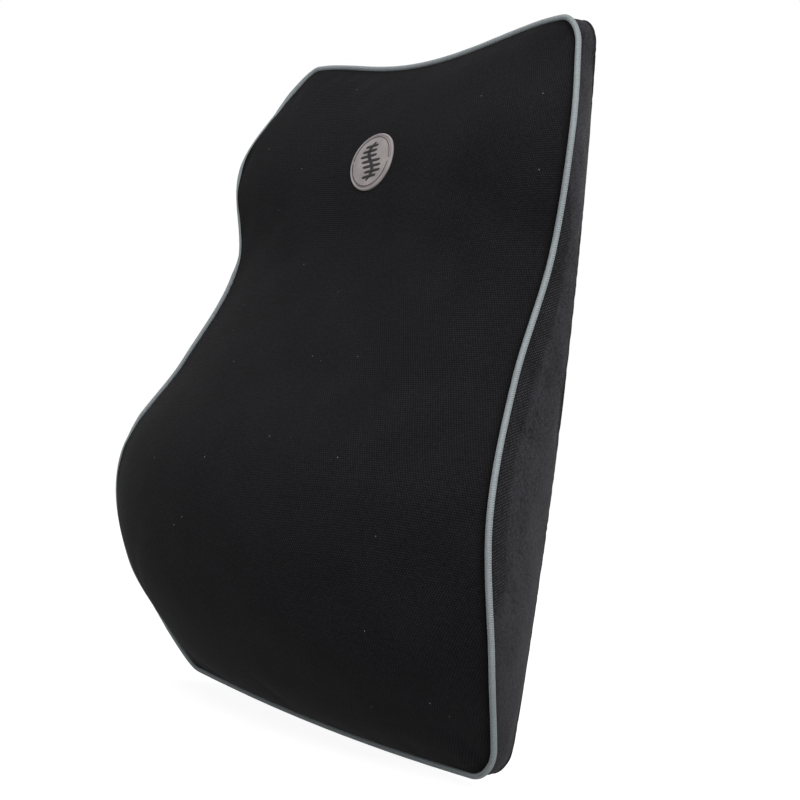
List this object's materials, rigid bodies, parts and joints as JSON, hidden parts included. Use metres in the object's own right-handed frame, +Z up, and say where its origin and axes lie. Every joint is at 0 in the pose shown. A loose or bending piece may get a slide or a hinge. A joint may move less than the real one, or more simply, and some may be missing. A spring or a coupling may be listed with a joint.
{
  "type": "lumbar support cushion",
  "caption": "Tall contoured back cushion with a domed mesh face, piped front seam, side gusset, round badge, rear zip and an elastic strap with a side-release buckle.",
  "frame": {"origin": "middle of the lower back panel's rear face, where the cushion bears on a chair's back", "axes": "+X towards a viewer's right when facing the padded front, +Y out of the flat back, +Z up"},
  "size_m": [0.3896, 0.1371, 0.4583],
  "materials": {
    "mesh_fabric": "matte",
    "gusset_fabric": "matte",
    "back_fabric": "matte",
    "piping_fabric": "satin",
    "filler_cord": "matte",
    "foam": "matte",
    "liner": "matte",
    "badge_leather": "satin",
    "emblem_print": "satin",
    "zip_tape": "matte",
    "zip_coil": "satin",
    "zip_metal": "satin",
    "webbing": "matte",
    "thread": "matte",
    "buckle_plastic": "satin",
    "label_tape": "matte"
  },
  "bodies": {
    "cushion": {"foam_core": "foam", "inner_liner": "liner", "side_gusset": "gusset_fabric", "back_panel_upper": "back_fabric", "back_panel_lower": "back_fabric", "piping_wrap": "piping_fabric", "piping_cord": "filler_cord", "care_label": "label_tape", "front_panel": "mesh_fabric", "badge_disc": "badge_leather", "badge_emblem": "emblem_print", "zip_tape_upper": "zip_tape", "zip_tape_lower": "zip_tape", "zip_coil_upper": "zip_coil", "zip_coil_lower": "zip_coil", "zip_stop_right": "zip_metal", "zip_stop_left": "zip_metal", "zip_end_tab_right": "gusset_fabric", "zip_end_tab_left": "gusset_fabric", "strap_left": "webbing", "strap_right": "webbing", "bartack_left": "thread", "bartack_right": "thread", "buckle_female": "buckle_plastic"},
    "zip_slider": {"zip_slider": "zip_metal"},
    "zip_pull": {"zip_pull": "zip_metal"},
    "buckle_male": {"buckle_male": "buckle_plastic"},
    "buckle_arm_upper": {"buckle_arm_upper": "buckle_plastic"},
    "buckle_arm_lower": {"buckle_arm_lower": "buckle_plastic"},
    "strap_adjuster": {"strap_adjuster": "buckle_plastic"}
  },
  "joints": [
    {"name": "zip_slide", "type": "slide", "parent": "cushion", "child": "zip_slider", "axis": [-1, 0, 0], "range_m": [0, 0.2587]},
    {"name": "zip_pull_swing", "type": "hinge", "parent": "zip_slider", "child": "zip_pull", "pos_m": [0.12937, 0.003, 0.059], "axis": [0, 0, -1], "range_deg": [0, 170]},
    {"name": "buckle_slide", "type": "slide", "parent": "cushion", "child": "buckle_male", "axis": [1, 0, 0], "range_m": [0, 0.026], "deforming": ["strap_right"]},
    {"name": "arm_upper_flex", "type": "hinge", "parent": "buckle_male", "child": "buckle_arm_upper", "pos_m": [-0.0003, 0.0056, 0.21645], "axis": [0, -1, 0], "range_deg": [0, 8], "stiffness_Nm_per_rad": 0.02},
    {"name": "arm_lower_flex", "type": "hinge", "parent": "buckle_male", "child": "buckle_arm_lower", "pos_m": [-0.0003, 0.0056, 0.18955], "axis": [0, -1, 0], "range_deg": [-8, 0], "stiffness_Nm_per_rad": 0.02},
    {"name": "adjuster_slide", "type": "slide", "parent": "cushion", "child": "strap_adjuster", "axis": [1, 0, 0], "range_m": [-0.018, 0.02]}
  ],
  "couplings": [
    {"joint": "arm_lower_flex", "follows": "arm_upper_flex", "ratio": -1}
  ]
}
